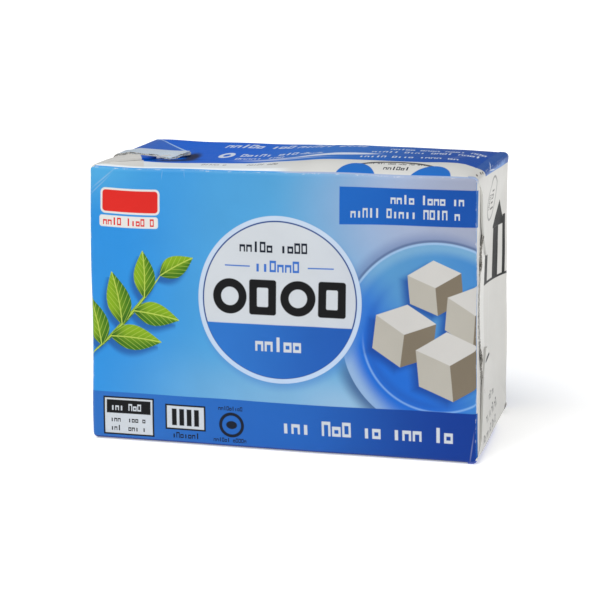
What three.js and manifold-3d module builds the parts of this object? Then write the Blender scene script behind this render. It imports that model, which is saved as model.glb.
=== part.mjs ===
// A shut, full brick carton of silken tofu, standing on one of its long narrow panels.
//
// The board tube runs along X. Each end is closed by a flat seal, the fin, and by two ears.
// At the left end the ears are folded onto the top and the base panels.
// At the right end they are folded onto the end panel itself, which has sunk a little.
// Frame: +X right, +Y to the back, +Z up, origin at the middle of the base.

import * as THREE from 'three';
import { mergeVertices } from 'three/addons/utils/BufferGeometryUtils.js';
import Module from 'manifold-3d';

// Driving dimensions, in millimetres
const width = 103; // along X, end to end
const depth = 48; // along Y, front panel to back panel
const height = 73; // along Z, base to top
const foldRadius = 1.3; // rounding of the board at every fold

const faceSwell = 1.3; // how far the filled front and back panels stand out at their middle
const topSwell = 2.2; // how far the top panel stands up, right of its middle
const topSwellFrom = -0.28; // the top starts to rise here, as a fraction of half the width
const topSwellTo = 0.26; // and has risen here
const topSwellLean = 0.35; // the swell is this much higher at the front, and lower at the back
const topSag = 0.3; // the top is hollow by this much under the ear's point
const topSagMiddle = -0.65; // middle of that hollow, as a fraction of half the width
const topSagReach = 0.35; // half its length, in the same measure
const leftSink = 0.8; // how far the left end is hollow
const rightSink = 3.2; // how far the right end is hollow, between its folded ears

const leftEarReach = 19.5; // from the fold to the point, of the two ears at the left end
const rightEarReach = 24; // the same at the right end, half the panel's depth
const earThickness = 0.8; // two layers of board, pressed together
const earStep = 0.3; // thickness of an ear at its fold
const earRamp = 3; // length in which an ear rises from its fold to its full thickness
const earTipWidth = 1.6; // the blunt point of an ear
const topEarLift = 0.3; // how far the point of the upper left ear has sprung up
const coveredFinThickness = 0.6; // the fin under each right ear, which lifts the ear's point
const earGroove = 0.5; // gap pressed into the base round the ear folded under it
const grooveDepth = 0.5; // depth of that gap

const finWidth = 7.5; // the seal, folded flat towards the front
const finThickness = 0.7; // two layers of sealed board
const finInset = 0.2; // an ear's fin is this much narrower on each side than the end panel's
const embed = 0.6; // how deep a flap's solid reaches into the body, so that the union is whole

const leftTopPinch = 1.3; // the top of the left end leans in by this much
const leftBaseFlare = 0.8; // the foot of the left end spreads by this much
const frontTopPinch = 0.7; // the front panel's top leans back at the left end
const frontBaseFlare = 1; // the front panel's foot comes forward at the left end
const backCornerSag = 1; // the right back corner of the top sits lower than the others

// Steps of the mesh
const arcSteps = 3; // over each quarter turn of a fold, from the panel to the middle of the fold
const widthSteps = 20;
const depthSteps = 8;
const heightSteps = 12;
const earLengthSteps = 8;
const earWidthSteps = 8;
const finLengthSteps = 12;

const halfWidth = width / 2;
const halfDepth = depth / 2;
const halfHeight = height / 2;

// A smooth hill over the square -1..1 by -1..1: one at the middle, nothing at the rim.
// A higher power makes it flatter on top and steeper at the rim.
const hill = (u, v, powers = [2, 2]) => {
  const slopeU = Math.max(0, 1 - Math.abs(u) ** powers[0]);
  const slopeV = Math.max(0, 1 - Math.abs(v) ** powers[1]);
  return slopeU * slopeV;
};

// How far the top panel stands over the crisp box: it swells right of its middle only
function topRise(u, v) {
  const swell = THREE.MathUtils.smoothstep(u, topSwellFrom, topSwellTo) * (1 - topSwellLean * v);
  const sag = Math.max(0, 1 - ((u - topSagMiddle) / topSagReach) ** 2) ** 2;
  return topSwell * swell * hill(u, v, [10, 4]) - topSag * sag * hill(0, v, [1, 4]);
}

// Moves a point of the crisp box to its place on the filled and settled pack
function settle(point) {
  const u = point.x / halfWidth;
  const v = point.y / halfDepth;
  const w = (point.z - halfHeight) / halfHeight;

  const sink = point.x > 0 ? rightSink : leftSink;
  const x = point.x * (1 - (sink / halfWidth) * hill(v, w));
  const y = point.y * (1 + (faceSwell / halfDepth) * hill(u, w));
  const z = point.z + Math.max(w, 0) * topRise(u, v);

  const toLeft = THREE.MathUtils.clamp((1 - u) / 2, 0, 1);
  const toFront = THREE.MathUtils.clamp((1 - v) / 2, 0, 1);
  const toTop = THREE.MathUtils.clamp((1 + w) / 2, 0, 1);
  point.x = x + toLeft * THREE.MathUtils.lerp(-leftBaseFlare, leftTopPinch, toTop);
  point.y = y + toLeft * toFront * THREE.MathUtils.lerp(-frontBaseFlare, frontTopPinch, toTop);
  point.z = z - (1 - toLeft) * (1 - toFront) * toTop * backCornerSag;
  return point;
}

// The volume inside a closed surface, less than nothing where its faces point inwards
function signedVolume(points, index) {
  const [a, b, c] = [new THREE.Vector3(), new THREE.Vector3(), new THREE.Vector3()];
  let volume = 0;
  for (let i = 0; i < index.count; i += 3) {
    a.fromBufferAttribute(points, index.getX(i));
    b.fromBufferAttribute(points, index.getX(i + 1));
    c.fromBufferAttribute(points, index.getX(i + 2));
    volume += a.dot(b.cross(c)) / 6;
  }
  return volume;
}

// A closed block of a x b x c steps whose points, each given as fractions 0..1, go through place().
// A place() that mirrors turns the faces inwards, so they are turned back.
function shapedBlock(steps, place) {
  const block = new THREE.BoxGeometry(1, 1, 1, ...steps);
  block.deleteAttribute('normal');
  block.deleteAttribute('uv');
  const geometry = mergeVertices(block);
  const points = geometry.attributes.position;
  const point = new THREE.Vector3();
  for (let i = 0; i < points.count; i += 1) {
    point.fromBufferAttribute(points, i).addScalar(0.5);
    place(point);
    settle(point);
    points.setXYZ(i, point.x, point.y, point.z);
  }
  if (signedVolume(points, geometry.index) < 0) {
    geometry.index.array.reverse();
  }
  return geometry;
}

// Places of the mesh lines along one side: close together over the folds, even on the panel
function stations(half, panelSteps) {
  const flat = half - foldRadius;
  const places = [];
  for (let i = arcSteps; i > 0; i -= 1) {
    places.push(-flat - foldRadius * Math.tan((Math.PI / 4) * (i / arcSteps)));
  }
  for (let i = 0; i <= panelSteps; i += 1) {
    places.push(-flat + (2 * flat * i) / panelSteps);
  }
  for (let i = 1; i <= arcSteps; i += 1) {
    places.push(flat + foldRadius * Math.tan((Math.PI / 4) * (i / arcSteps)));
  }
  return places;
}

// The filled body: a box with rounded folds
function bodyGeometry() {
  const alongX = stations(halfWidth, widthSteps);
  const alongY = stations(halfDepth, depthSteps);
  const alongZ = stations(halfHeight, heightSteps);
  const core = new THREE.Vector3(halfWidth, halfDepth, halfHeight).subScalar(foldRadius);
  const coreLow = core.clone().negate();
  const steps = [alongX.length - 1, alongY.length - 1, alongZ.length - 1];
  return shapedBlock(steps, (point) => {
    point.set(
      alongX[Math.round(point.x * steps[0])],
      alongY[Math.round(point.y * steps[1])],
      alongZ[Math.round(point.z * steps[2])],
    );
    const inner = point.clone().clamp(coreLow, core);
    point.sub(inner).setLength(foldRadius).add(inner);
    point.z += halfHeight;
  });
}

// The four places where an ear or its fin can lie. along runs from the fold into the panel,
// across runs from front to back, and out stands off the panel.
const panels = {
  topLeft: (point, along, across, out) => point.set(-halfWidth + along, across, height + out),
  baseLeft: (point, along, across, out) => point.set(-halfWidth + along, across, -out),
  topRight: (point, along, across, out) => point.set(halfWidth + out, across, height - along),
  baseRight: (point, along, across, out) => point.set(halfWidth + out, across, along),
};

// How far an ear's outer face stands off the panel: a step at the fold, full thickness past the
// ramp, and the spring of its point
function earRise(along, reach, lift) {
  const ramp = THREE.MathUtils.smoothstep(along, 0, earRamp);
  return THREE.MathUtils.lerp(earStep, earThickness, ramp) + lift * (along / reach) ** 2;
}

// A triangle of board on a fold, as wide as the panel at its base and blunt at its point.
// It reaches from under to over, each a distance off the panel, and margin makes it larger.
function triangle(put, reach, under, over, margin = 0) {
  const start = foldRadius + margin;
  const halfBase = halfDepth - foldRadius + margin;
  return shapedBlock([earLengthSteps, earWidthSteps, 1], (point) => {
    const along = THREE.MathUtils.lerp(start, reach + margin, point.x);
    const halfAcross = halfBase * (1 - point.x) + earTipWidth / 2 + margin;
    const across = (2 * point.y - 1) * Math.min(halfAcross, halfBase);
    put(point, along, across, point.z > 0.5 ? over(along) : under);
  });
}

// An ear that lies on a panel. Its point stands further off than its fold by lift.
const earGeometry = (put, reach, lift) =>
  triangle(put, reach, -embed, (along) => earRise(along, reach, lift));

// A strip of fin along an ear's middle line, folded towards the front
function earFinGeometry(put, from, to, over) {
  return shapedBlock([finLengthSteps, 1, 1], (point) => {
    const along = THREE.MathUtils.lerp(from, to, point.x);
    const across = THREE.MathUtils.lerp(-finWidth + finInset, -finInset, point.y);
    put(point, along, across, point.z > 0.5 ? over(along) : -embed);
  });
}

// The fin down the middle of an end panel, folded towards the front and flush at the base
function endFinGeometry(side, low, high) {
  return shapedBlock([1, 1, finLengthSteps], (point) => {
    const z = THREE.MathUtils.lerp(low, high, point.z);
    const rise = finThickness * THREE.MathUtils.smoothstep(z, -earRamp, earRamp);
    const outer = point.x > 0.5 === side > 0;
    const y = THREE.MathUtils.lerp(-finWidth, 0, point.y);
    point.set(side * (halfWidth + (outer ? rise : -embed)), y, z);
  });
}

const wasm = await Module();
wasm.setup();

function toSolid(geometry) {
  const vertProperties = new Float32Array(geometry.attributes.position.array);
  const triVerts = new Uint32Array(geometry.index.array);
  return new wasm.Manifold(new wasm.Mesh({ numProp: 3, vertProperties, triVerts }));
}

function toGeometry(solid) {
  const mesh = solid.getMesh();
  const geometry = new THREE.BufferGeometry();
  geometry.setAttribute('position', new THREE.BufferAttribute(mesh.vertProperties, 3));
  geometry.setIndex(new THREE.BufferAttribute(mesh.triVerts, 1));
  const faceted = geometry.toNonIndexed();
  faceted.computeVertexNormals();
  return faceted;
}

// The whole carton as one solid
function cartonGeometry() {
  const topEarFinRise = (along) =>
    earRise(Math.max(along, 0), leftEarReach, topEarLift) + finThickness;
  const coveredFinRise = () => coveredFinThickness;
  const finLow = rightEarReach - earTipWidth;
  const finHigh = height - rightEarReach + earTipWidth;
  const flaps = [
    // left end: the fin wraps over the fold onto the ear on the top panel
    endFinGeometry(-1, finInset, height),
    earGeometry(panels.topLeft, leftEarReach, topEarLift),
    earFinGeometry(panels.topLeft, -finThickness + finInset, leftEarReach, topEarFinRise),
    // right end: both ears cover the fin, whose cut edge shows beside their points
    endFinGeometry(1, finLow, finHigh),
    earGeometry(panels.topRight, rightEarReach, coveredFinThickness),
    earFinGeometry(panels.topRight, foldRadius, rightEarReach, coveredFinRise),
    earGeometry(panels.baseRight, rightEarReach, coveredFinThickness),
    earFinGeometry(panels.baseRight, foldRadius, rightEarReach, coveredFinRise),
  ];
  // The ear under the base is pressed flush, so that only the groove round it shows
  const groove = triangle(panels.baseLeft, leftEarReach, -grooveDepth, () => embed, earGroove);
  const flushEar = triangle(panels.baseLeft, leftEarReach, -grooveDepth - embed, () => 0);

  let solid = toSolid(bodyGeometry()).subtract(toSolid(groove)).add(toSolid(flushEar));
  for (const flap of flaps) {
    solid = solid.add(toSolid(flap));
  }
  return toGeometry(solid);
}

const board = new THREE.MeshStandardMaterial({ color: 0x5aa5e0, roughness: 0.42, metalness: 0 });

const carton = new THREE.Mesh(cartonGeometry(), board);
carton.name = 'carton';

const pack = new THREE.Group();
pack.name = 'tofu_carton';
pack.add(carton);

export default pack;
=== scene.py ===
# %% [markdown]
# A shut brick carton of silken tofu. The printed board is one folded tube: each end is closed by a
# flat seal, the fin, and by two triangular ears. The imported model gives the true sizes, so every
# piece here is made in its frame, in metres, and takes its place.

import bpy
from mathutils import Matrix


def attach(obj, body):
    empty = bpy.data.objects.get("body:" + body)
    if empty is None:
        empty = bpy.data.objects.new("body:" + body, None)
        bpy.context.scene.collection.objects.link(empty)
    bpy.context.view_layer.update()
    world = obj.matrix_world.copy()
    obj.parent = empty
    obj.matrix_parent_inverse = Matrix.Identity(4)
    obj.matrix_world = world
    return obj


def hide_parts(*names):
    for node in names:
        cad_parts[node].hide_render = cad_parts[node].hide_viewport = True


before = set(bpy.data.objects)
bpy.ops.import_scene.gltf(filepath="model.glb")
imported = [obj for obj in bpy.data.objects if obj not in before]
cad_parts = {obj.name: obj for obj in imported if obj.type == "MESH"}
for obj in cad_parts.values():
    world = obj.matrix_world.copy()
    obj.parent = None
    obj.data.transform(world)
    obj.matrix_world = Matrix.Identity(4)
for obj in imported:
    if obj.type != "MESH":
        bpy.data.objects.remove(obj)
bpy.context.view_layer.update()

# %% Modules
import math
from contextlib import contextmanager
from types import SimpleNamespace

import bmesh
import bpy
from mathutils import Matrix, Vector, noise

print("Blender", bpy.app.version_string)

# %% [markdown]
# The carton's own sizes. The box that the frame gives is that of the filled pack, with its swell, its
# lean and its flaps, so the sizes of the crisp blank are stated here, as a carton maker would.

# %% Sizes of the carton
MM = 0.001
WIDTH = 103 * MM  # along X
DEPTH = 48 * MM  # along Y, front at -Y
HEIGHT = 73 * MM  # along Z
FOLD = 1.3 * MM  # radius of every fold

FACE_SWELL = 1.3 * MM
TOP_SWELL = 2.2 * MM  # the top stands up right of its middle, and hardly at all to the left
TOP_SWELL_FROM, TOP_SWELL_TO = -0.28, 0.26  # where it rises, as a fraction of half the width
TOP_SWELL_LEAN = 0.35  # the swell is higher to the front
TOP_SAG = 0.3 * MM  # the hollow under the ear
TOP_SAG_MIDDLE, TOP_SAG_REACH = -0.65, 0.35
LEFT_TOP_RISE = 0.45 * MM  # the folded board is thick along the upper left fold
BACK_BOW = 0.4 * MM  # the upper back fold bows up in its middle
LEFT_SINK = 0.8 * MM
RIGHT_SINK = 3.2 * MM
LEFT_TOP_PINCH = 1.3 * MM
LEFT_BASE_FLARE = 0.8 * MM
FRONT_TOP_PINCH = 0.7 * MM
FRONT_BASE_FLARE = 1.0 * MM
BACK_CORNER_SAG = 1.0 * MM

LEFT_REACH = 19.5 * MM  # ears at the left end, from fold to point
RIGHT_REACH = 24 * MM  # ears at the right end
BOARD = 0.28 * MM  # one layer of board
EAR_SHEET = 2 * BOARD
EAR_RAMP = 4 * MM
EAR_TIP = 1.6 * MM
FIN_WIDTH = 7.4 * MM
print("blank:", WIDTH, DEPTH, HEIGHT)

# %% [markdown]
# Modelling by hand in edit mode always goes the same way: open one mesh with nothing selected, pick
# faces or edges by where they are or which way they face, and run an operator on them.

# %% Helpers for edit mode
def make_active(piece):
    """Selects one piece alone."""
    bpy.ops.object.select_all(action="DESELECT")
    piece.select_set(True)
    bpy.context.view_layer.objects.active = piece


@contextmanager
def editing(piece, kind="FACE"):
    """Edit mode on one piece, with nothing selected."""
    make_active(piece)
    bpy.ops.object.mode_set(mode="EDIT")
    bpy.ops.mesh.select_mode(type=kind)
    bpy.ops.mesh.select_all(action="DESELECT")
    yield
    bpy.ops.object.mode_set(mode="OBJECT")


def pick_faces(piece, test):
    """Selects the faces that pass the test."""
    mesh = bmesh.from_edit_mesh(piece.data)
    for face in mesh.faces:
        face.select_set(test(face))
    bmesh.update_edit_mesh(piece.data)


def pick_points(piece, test):
    """Selects the points that pass the test."""
    mesh = bmesh.from_edit_mesh(piece.data)
    for point in mesh.verts:
        point.select_set(test(point.co))
    mesh.select_flush_mode()
    bmesh.update_edit_mesh(piece.data)


def add_box(name, low, high):
    """A cube primitive between two corners, with its place in its mesh."""
    low, high = Vector(map(min, low, high)), Vector(map(max, low, high))
    bpy.ops.object.select_all(action="DESELECT")
    bpy.ops.mesh.primitive_cube_add(size=1, location=(low + high) / 2, scale=high - low)
    piece = bpy.context.object
    piece.name = piece.data.name = name
    bpy.ops.object.transform_apply(location=True, rotation=True, scale=True)
    return piece


def print_size(piece):
    """Prints a piece's size in millimetres."""
    print(piece.name, "size (mm):", [round(side / MM, 1) for side in piece.dimensions])


def cut_across(piece, axis, places):
    """Cuts the whole mesh at each place along one axis."""
    normal = [0.0, 0.0, 0.0]
    normal[axis] = 1.0
    with editing(piece, "EDGE"):
        for place in places:
            middle = [0.0, 0.0, 0.0]
            middle[axis] = place
            bpy.ops.mesh.select_all(action="SELECT")
            bpy.ops.mesh.bisect(plane_co=middle, plane_no=normal)


def even_places(low, high, step):
    """Places strictly between two ends, as close to the given step as fits."""
    count = max(1, round((high - low) / step))
    return [low + (high - low) * i / count for i in range(1, count)]


def pull(shift, size):
    """Moves what is selected, and what is round it up to a size, with proportional editing."""
    bpy.ops.transform.translate(
        value=shift,
        use_proportional_edit=True,
        proportional_edit_falloff="SMOOTH",
        proportional_size=size,
    )


def apply_modifier(piece, kind, **settings):
    """Adds a modifier with these settings and applies it."""
    make_active(piece)
    modifier = piece.modifiers.new(kind.title(), kind)
    for name, value in settings.items():
        setattr(modifier, name, value)
    bpy.ops.object.modifier_apply(modifier=modifier.name)


# %% [markdown]
# The body starts as one cube of the blank's size. All twelve edges get the fold's radius, and cuts
# about 2 mm apart let the panels bend later.

# %% The crisp body
GRID = 2 * MM
body = add_box("carton_body", (-WIDTH / 2, -DEPTH / 2, 0), (WIDTH / 2, DEPTH / 2, HEIGHT))
with editing(body, "EDGE"):
    bpy.ops.mesh.select_all(action="SELECT")
    bpy.ops.mesh.bevel(offset=FOLD, offset_type="OFFSET", segments=4, profile=0.5, affect="EDGES")
print("body folds:", len(body.data.polygons), "faces")

# %% [markdown]
# The ear under the base is pressed flush into the board. A triangular block is cut out of the base
# for it, as deep as one layer, and the ear itself is added later.

# %% Groove for the ear under the base
GROOVE = 0.5 * MM


def triangle_block(name, start, reach, half_base, half_tip, low, high):
    """A flat triangle on the base: a strip at the fold, extruded once to its narrow point."""
    strip = 0.4 * MM
    left = -WIDTH / 2 + start
    block = add_box(name, (left, -half_base, low), (left + strip, half_base, high))
    with editing(block):
        pick_faces(block, lambda face: face.normal.x > 0.9)
        step = (reach - start - strip, 0, 0)
        bpy.ops.mesh.extrude_region_move(TRANSFORM_OT_translate={"value": step})
        bpy.ops.transform.resize(value=(1, half_tip / half_base, 1))
    return block


half_base, half_tip = DEPTH / 2 - FOLD + GROOVE, EAR_TIP / 2 + GROOVE
groove = triangle_block("groove", FOLD, LEFT_REACH + GROOVE, half_base, half_tip, -GROOVE, GROOVE)
apply_modifier(body, "BOOLEAN", operation="DIFFERENCE", solver="EXACT", object=groove)
bpy.data.objects.remove(groove)
cut_across(body, 0, even_places(-WIDTH / 2 + FOLD, WIDTH / 2 - FOLD, GRID))
cut_across(body, 1, even_places(-DEPTH / 2 + FOLD, DEPTH / 2 - FOLD, GRID))
cut_across(body, 2, even_places(FOLD, HEIGHT - FOLD, GRID))
print("body grid:", len(body.data.polygons), "faces")

# %% [markdown]
# An ear is a flattened corner of the tube, two layers thick. Its outer layer is one with the panel
# before the fold, so the ear starts flush on that panel, turns over the fold by a spin, and then
# grows along the next panel by extrusions that narrow to a blunt point.

# %% Ears
Y_AXIS = Vector((0, 1, 0))
FLUSH = 0.03 * MM  # keeps two sides from lying in one plane
EAR_START = 1.2 * MM  # how far the flush strip runs before the fold
EAR_STEPS = 9


def in_plane(x, z):
    """A vector in the plane of an end's middle line."""
    return Vector((x, 0, z))


def clamp(value):
    """The value held between 0 and 1."""
    return min(max(value, 0), 1)


def smooth_step(value):
    """0 up to 0, 1 from 1 on, and a soft rise between them."""
    held = clamp(value)
    return held * held * (3 - 2 * held)


def ear_rise(along, reach, spring):
    """How far an ear's outer side stands off the panel that it lies on."""
    return FLUSH + EAR_SHEET * smooth_step((along - FOLD) / EAR_RAMP) + spring * (along / reach) ** 2


def start_flap(name, corner, before, after, run, front, back, under, over):
    """A flap's first part: a strip flush on the panel before the fold, then a quarter turn."""
    a = corner + before * (FOLD + run) - after * over + Y_AXIS * front
    b = corner + before * FOLD + after * under + Y_AXIS * back
    flap = add_box(name, a, b)
    turn = before.cross(after).dot(Y_AXIS)
    with editing(flap):
        pick_faces(flap, lambda face: face.normal.dot(before) < -0.9)
        bpy.ops.mesh.spin(
            steps=4, angle=math.pi / 2, center=corner + (before + after) * FOLD, axis=Y_AXIS * turn
        )
    return flap


def pick_end(flap, corner, after):
    """Selects the end face of a flap that has turned over its fold."""
    turned = (corner + after * FOLD).dot(after) - 0.1 * MM
    pick_faces(
        flap,
        lambda face: face.normal.dot(after) > 0.9 and face.calc_center_median().dot(after) > turned,
    )


def make_ear(name, corner, before, after, reach, spring):
    """An ear that starts on the panel before its fold and narrows along the panel after it."""
    half_base = DEPTH / 2 - FOLD * 0.3
    ear = start_flap(
        name, corner, before, after, EAR_START, -half_base, half_base, EAR_SHEET - FLUSH, FLUSH
    )
    with editing(ear):
        pick_end(ear, corner, after)
        along, half = FOLD, half_base
        for i in range(1, EAR_STEPS + 1):
            # steps start short, where the ear leaves its fold
            next_along = FOLD + (reach - FOLD) * (i / EAR_STEPS) ** 1.2
            next_half = EAR_TIP / 2 + (half_base - EAR_TIP / 2) * (1 - next_along / reach)
            lift = ear_rise(next_along, reach, spring) - ear_rise(along, reach, spring)
            step = after * (next_along - along) - before * lift
            bpy.ops.mesh.extrude_region_move(TRANSFORM_OT_translate={"value": step})
            bpy.ops.transform.resize(value=(1, next_half / half, 1))
            along, half = next_along, next_half
    cut_across(ear, 1, even_places(-half_base, half_base, 2.4 * MM))
    return ear


LEFT, RIGHT = -WIDTH / 2, WIDTH / 2
UP, DOWN = in_plane(0, 1), in_plane(0, -1)
TO_RIGHT, TO_LEFT = in_plane(1, 0), in_plane(-1, 0)
TOP_SPRING = 0.25 * MM
COVERED_FIN = 0.5 * MM  # the right ears lie over a fin
ROOT_SINK = 0.45 * MM
LEFT_TOP = (in_plane(LEFT, HEIGHT), DOWN, TO_RIGHT)  # a fold: its corner, the way to it and past it
RIGHT_TOP = (in_plane(RIGHT, HEIGHT), TO_LEFT, DOWN)
RIGHT_BASE = (in_plane(RIGHT, 0), TO_LEFT, UP)
ears = {
    "ear_top_left": make_ear("ear_top_left", *LEFT_TOP, LEFT_REACH, TOP_SPRING),
    "ear_top_right": make_ear("ear_top_right", *RIGHT_TOP, RIGHT_REACH, COVERED_FIN),
    "ear_base_right": make_ear("ear_base_right", *RIGHT_BASE, RIGHT_REACH, COVERED_FIN),
}
with editing(ears["ear_top_left"], "VERT"):
    # the ear's root lies flush in the left end
    pick_points(ears["ear_top_left"], lambda point: point.x < LEFT and point.z < HEIGHT - FOLD)
    pull((ROOT_SINK, 0, 0), 2 * MM)
for ear in ears.values():
    print_size(ear)

# %% [markdown]
# The fourth ear lies in its groove, with its outer side level with the base.

# %% The ear under the base
flush_ear = triangle_block(
    "ear_base_left", FOLD, LEFT_REACH, DEPTH / 2 - FOLD, EAR_TIP / 2, 0.02 * MM, GROOVE + 0.1 * MM
)
cut_across(flush_ear, 1, even_places(-DEPTH / 2 + FOLD, DEPTH / 2 - FOLD, 3 * MM))
ears["ear_base_left"] = flush_ear
print_size(flush_ear)

# %% [markdown]
# The fin is the tube's end seal: two layers of board pressed together and cut with a toothed knife.
# It lies flat to the front. At the left end it runs up the end panel, over the fold and along the
# ear, where its free edge bends down; at the right end it lies under both ears. Each layer is a mesh
# of its own, so that the gap between them shows at the edge.

# %% Fins
TOOTH = 0.55 * MM
TOOTH_DEPTH = 0.3 * MM
LAYER = 0.24 * MM
EDGE_WAVE = 0.35 * MM
FIN_CLEAR = EAR_RAMP + 3 * MM  # the right fin ends under the ears, this far from the folds
LAYERS = (("inner", 0.02 * MM, -FIN_WIDTH), ("outer", 0.32 * MM, -FIN_WIDTH + 0.4 * MM))
# the left fin's edge tapers to the ear's point, and bends down past the ear's slanted side: how far
# along the ear each spot is, its shift and how far round it the board follows, in millimetres
BENDS = (
    (LEFT_REACH / MM, (0, 3.0, 0), 4.0),
    (17.0, (0, -0.4, -1.0), 5.6),
    (9.0, (0, -0.2, -0.3), 5.0),
)
# the right fin's edge stands off the panel in waves: heights and how far out
WAVES = ((55, 0.5), (51.5, 0.1), (48, 0.35), (23, 0.5), (18.5, 0.1), (14, 0.4))


def make_left_layer(name, under, front):
    """One layer of the left fin, which starts at a height over what it lies on."""
    fin = start_flap(name, *LEFT_TOP, HEIGHT - 2 * FOLD, front, 0, -under, under + LAYER)
    with editing(fin):
        pick_end(fin, LEFT_TOP[0], TO_RIGHT)
        along = FOLD
        count = round((LEFT_REACH - FOLD) / TOOTH)
        for i in range(1, count + 1):
            next_along = FOLD + (LEFT_REACH - FOLD) * i / count
            rise, next_rise = (ear_rise(at, LEFT_REACH, TOP_SPRING) for at in (along, next_along))
            step = TO_RIGHT * (next_along - along) + UP * (next_rise - rise)
            bpy.ops.mesh.extrude_region_move(TRANSFORM_OT_translate={"value": step})
            along = next_along
    cut_across(fin, 2, even_places(FOLD, HEIGHT - FOLD, TOOTH))
    cut_across(fin, 1, even_places(front, 0, 1.3 * MM))
    return fin


def make_right_layer(name, under, front):
    """One layer of the right fin, from under one ear to under the other."""
    low, high = FIN_CLEAR, HEIGHT - FIN_CLEAR
    fin = add_box(name, (RIGHT + under, front, low), (RIGHT + under + LAYER, 0, high))
    cut_across(fin, 2, even_places(low, high, TOOTH))
    cut_across(fin, 1, even_places(front, 0, 1.8 * MM))
    return fin


def cut_teeth(fin, front):
    """Shifts four of every five points on the cut edge, so that it is toothed and wanders a little."""

    def at_edge(point):
        """Whether a point lies on the cut edge."""
        return abs(point.y - front) < 0.01 * MM

    def row(point):
        """The number of a point's tooth, along the fin and over its fold."""
        return round(point.x / TOOTH) + round(point.z / TOOTH)

    shifts = {0: TOOTH_DEPTH, 1: -EDGE_WAVE / 2, 2: TOOTH_DEPTH * 0.6, 4: EDGE_WAVE}
    with editing(fin, "VERT"):
        for turn, shift in shifts.items():
            pick_points(fin, lambda point: at_edge(point) and row(point) % 5 == turn)
            bpy.ops.transform.translate(value=(0, shift, 0))


def bend_edge(fin, place, shift, size):
    """Pulls the spot of a fin that is nearest to a place."""
    nearest = min(fin.data.vertices, key=lambda v: (v.co - place).length).co.copy()
    with editing(fin, "VERT"):
        pick_points(fin, lambda point: (point - nearest).length < 0.05 * MM)
        pull(shift, size)


OVER_TOP = HEIGHT + FLUSH + EAR_SHEET + TOP_SPRING
fins = {}
for name, under, front in LAYERS:
    left = make_left_layer("fin_left_" + name, under, front)
    cut_teeth(left, front)
    for along, shift, size in BENDS:
        bend_edge(left, Vector((LEFT + along * MM, front, OVER_TOP)), Vector(shift) * MM, size * MM)
    right = make_right_layer("fin_right_" + name, under - 0.1 * MM, front)
    cut_teeth(right, front)
    for z, out in WAVES:
        spot = Vector((RIGHT, front, z * MM))
        bend_edge(right, spot, (out * MM, -0.3 * out * MM, 0), 3.0 * MM)
    fins[left.name], fins[right.name] = left, right
for fin in fins.values():
    print_size(fin)

# %% [markdown]
# The tube itself is closed by a long seam, one layer of board over another, along the back.

# %% Back seam
SEAM_LOW, SEAM_HIGH = 30 * MM, 38 * MM
seam = add_box(
    "seam_back",
    (LEFT + FOLD, DEPTH / 2 - 0.2 * MM, SEAM_LOW),
    (RIGHT - FOLD, DEPTH / 2 + BOARD, SEAM_HIGH),
)
cut_across(seam, 0, even_places(LEFT, RIGHT, GRID))
cut_across(seam, 2, even_places(SEAM_LOW, SEAM_HIGH, GRID))
print_size(seam)

# %% [markdown]
# The print is drawn on the flat blank, in millimetres: the front panel is 0..103 by 0..73, the top
# follows above it, the back above that, the base below, and the ends at the sides. The map is laid
# before anything is bent, so the print goes with the board.

# %% The print's map
CORE_LOW = Vector((LEFT, -DEPTH / 2, 0)) + Vector((FOLD,) * 3)
CORE_HIGH = Vector((RIGHT, DEPTH / 2, HEIGHT)) - Vector((FOLD,) * 3)
PANELS = ("left", "right", "front", "back", "base", "top")


def panel_of(normal):
    """The panel that a face belongs to, by the way that it faces."""
    axis = max(range(3), key=lambda i: abs(normal[i]))
    return PANELS[2 * axis + (normal[axis] > 0)]


def crisp(point, axis):
    """The point on the crisp, unrounded panel across that axis."""
    inner = Vector(max(lo, min(hi, v)) for v, lo, hi in zip(point, CORE_LOW, CORE_HIGH))
    off = point - inner
    flat = inner + off * (FOLD / max(abs(off[axis]), 0.3 * FOLD))
    return (flat.x - LEFT) / MM, (flat.y + DEPTH / 2) / MM, flat.z / MM


W, D, H = WIDTH / MM, DEPTH / MM, HEIGHT / MM


BACK_TOP = H + D  # where the back starts on the blank


def blank_place(point, panel):
    """Where a body point lies on the blank, in millimetres."""
    x, y, z = crisp(point, PANELS.index(panel) // 2)
    return {
        "front": (x, z),
        "top": (x, H + y),
        "back": (x, BACK_TOP + H - z),
        "base": (x, -y),
        "right": (W + y, z),
        "left": (-y, z),
    }[panel]


def write_map(piece, name, place):
    """Fills a UV map from place(face, point)."""
    layer = piece.data.uv_layers.get(name) or piece.data.uv_layers.new(name=name)
    for face in piece.data.polygons:
        for corner in face.loop_indices:
            point = piece.data.vertices[piece.data.loops[corner].vertex_index].co
            layer.data[corner].uv = place(face, point)


write_map(body, "Print", lambda face, point: blank_place(point, panel_of(face.normal)))
body_panels = [panel_of(face.normal) for face in body.data.polygons]
print("faces of each panel:", {panel: body_panels.count(panel) for panel in PANELS})

# %% [markdown]
# A second map lays the body's panels side by side on one square sheet, for whoever wants the print as
# a flat picture. The front gets the most room, and the back is turned a quarter so that it fits.

# %% The body's sheet map
SHEET = 1024  # side of the sheet, in picture points
# for each panel: where it starts on the blank, its left and lower edge on the sheet, and its scale
PANEL_ROOM = {
    "front": ((0, 0), (3, 3), 8.15),
    "top": ((0, H), (3, 606), 4.95),
    "base": ((0, -D), (3, 850), 3.55),
    "right": ((W, 0), (520, 606), 4.55),
    "left": ((-D, 0), (849, 3), 3.5),
    "back": ((0, BACK_TOP), (745, 606), 3.75),
}
GROOVE_ROOM = ((855, 280), 2.4)


def in_groove(place):
    """Whether a face's middle lies in the groove under the base."""
    deep = 0.12 * MM < place.z < GROOVE + 0.1 * MM
    return deep and abs(place.y) < DEPTH / 2 - FOLD + GROOVE and LEFT + FOLD - GROOVE < place.x < 0


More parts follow.
